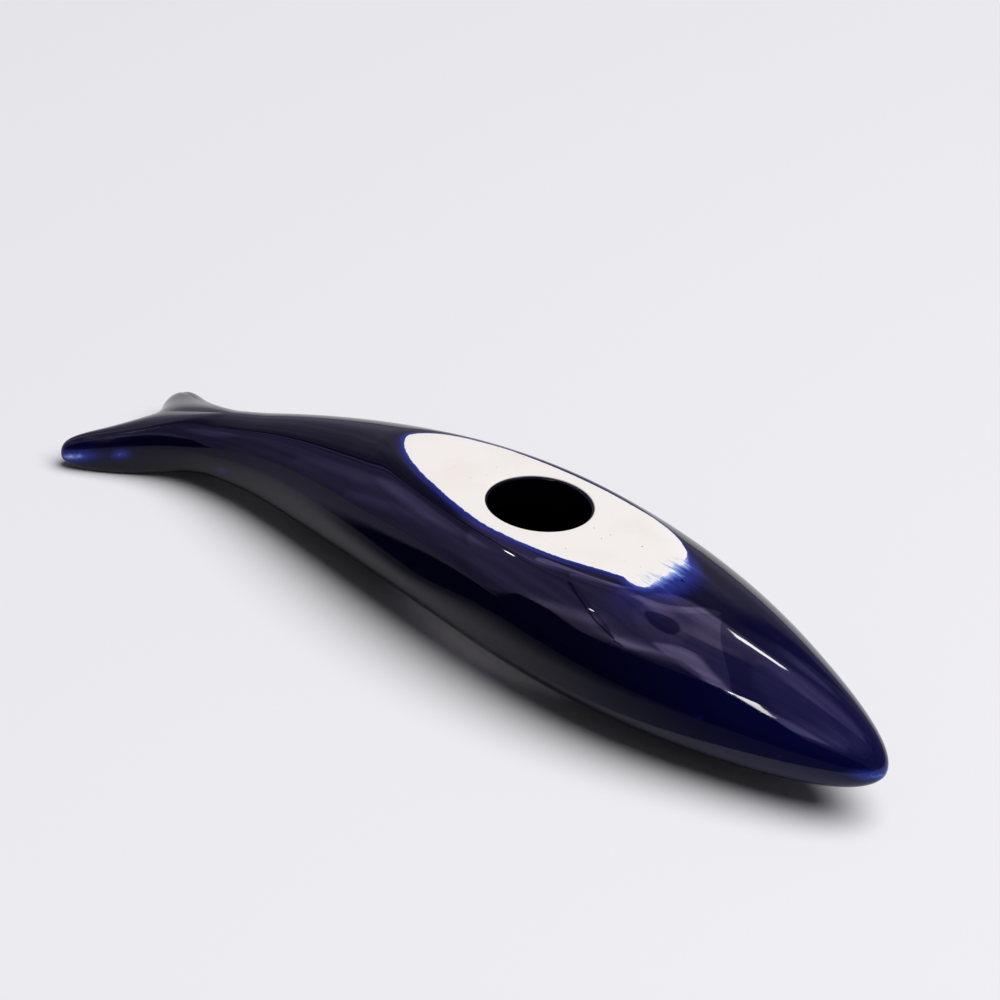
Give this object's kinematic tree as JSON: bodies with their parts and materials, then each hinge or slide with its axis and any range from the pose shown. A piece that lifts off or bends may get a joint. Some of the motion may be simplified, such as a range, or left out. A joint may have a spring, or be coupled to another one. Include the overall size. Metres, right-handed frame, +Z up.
{
  "type": "ceramic sardine figurine",
  "caption": "Hollow glazed ceramic sardine figurine with a forked tail, lying on its domed side so that its flat bare foot patch and round pour hole face up.",
  "frame": {"origin": "on the table under the middle of the fish's bounding box, with the fish lying on its domed glazed side as in the picture", "axes": "+X along the fish towards its nose, +Z up out of the foot patch and the pour hole, +Y to the side that the tail bends away from"},
  "size_m": [0.1502, 0.0394, 0.0235],
  "materials": {
    "bisque_clay": "matt unglazed pale earthenware with fine pinholes",
    "cobalt_glaze": "thick glossy cobalt glaze, almost black where deep and bright blue where thin",
    "lining_glaze": "glossy dark cobalt glaze lining"
  },
  "bodies": {
    "root": {"clay_body": "bisque_clay", "outer_glaze": "cobalt_glaze", "inner_glaze": "lining_glaze"}
  },
  "joints": []
}
